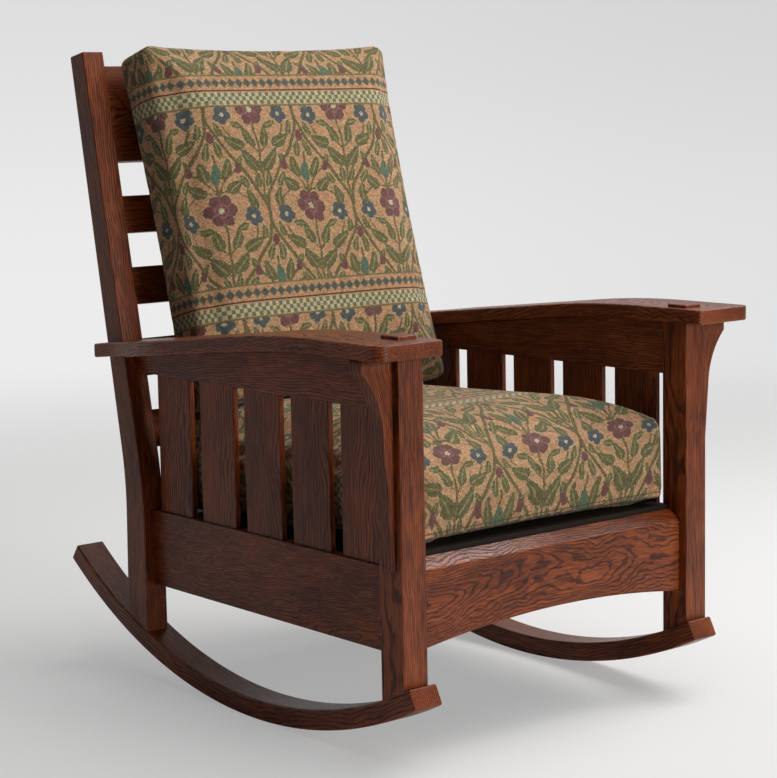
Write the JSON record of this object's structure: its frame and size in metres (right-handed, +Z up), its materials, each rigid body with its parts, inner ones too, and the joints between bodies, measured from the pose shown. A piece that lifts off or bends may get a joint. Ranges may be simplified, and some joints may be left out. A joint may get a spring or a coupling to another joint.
{
  "type": "rocking armchair",
  "caption": "Oak rocking armchair with curved runners, bowed flat arms, slatted sides, a leaning ladder back, a slatted seat deck and loose seat and back cushions.",
  "frame": {"origin": "bottom centre of the bounding box: on the floor, midway between the arms' front ends and the runners' rear tips", "axes": "+Z up, -Y the way the sitter faces, +X towards the sitter's left arm"},
  "size_m": [0.7368, 0.9184, 1.0234],
  "materials": {
    "fumed_oak": "satin-gloss dark reddish brown oak",
    "deck_wood": "plain sanded wood",
    "dowel_wood": "plain wood",
    "screw_steel": "zinc plated",
    "tapestry_cushion": "woven tapestry over soft filling"
  },
  "bodies": {
    "chair": {"runner_left": "fumed_oak", "runner_right": "fumed_oak", "front_post_left": "fumed_oak", "front_post_right": "fumed_oak", "rear_post_left": "fumed_oak", "rear_post_right": "fumed_oak", "arm_left": "fumed_oak", "arm_right": "fumed_oak", "corbel_left": "fumed_oak", "corbel_right": "fumed_oak", "upper_side_rail_left": "fumed_oak", "upper_side_rail_right": "fumed_oak", "lower_side_rail_left": "fumed_oak", "lower_side_rail_right": "fumed_oak", "side_slat_left_1": "fumed_oak", "side_slat_left_2": "fumed_oak", "side_slat_left_3": "fumed_oak", "side_slat_left_4": "fumed_oak", "side_slat_left_5": "fumed_oak", "side_slat_right_1": "fumed_oak", "side_slat_right_2": "fumed_oak", "side_slat_right_3": "fumed_oak", "side_slat_right_4": "fumed_oak", "side_slat_right_5": "fumed_oak", "front_seat_rail": "fumed_oak", "rear_seat_rail": "fumed_oak", "back_slat_1": "fumed_oak", "back_slat_2": "fumed_oak", "back_slat_3": "fumed_oak", "back_slat_4": "fumed_oak", "back_top_rail": "fumed_oak", "seat_cleat_left": "deck_wood", "seat_cleat_right": "deck_wood", "deck_side_bar_left": "deck_wood", "deck_side_bar_right": "deck_wood", "deck_front_bar": "deck_wood", "deck_rear_bar": "deck_wood", "deck_slat_1": "deck_wood", "deck_slat_2": "deck_wood", "deck_slat_3": "deck_wood", "deck_slat_4": "deck_wood", "deck_slat_5": "deck_wood", "corbel_dowels": "dowel_wood", "arm_dowels": "dowel_wood", "cleat_screws": "screw_steel", "deck_screws": "screw_steel"},
    "seat_cushion": {"seat_cushion": "tapestry_cushion"},
    "back_cushion": {"back_cushion": "tapestry_cushion"}
  },
  "joints": [
    {"name": "seat_cushion_slide", "type": "slide", "parent": "chair", "child": "seat_cushion", "axis": [0, -0.9991, 0.0429], "range_m": [0, 0.08]},
    {"name": "back_cushion_lift", "type": "slide", "parent": "chair", "child": "back_cushion", "axis": [0, 0.1901, 0.9818], "range_m": [0, 0.1]}
  ]
}
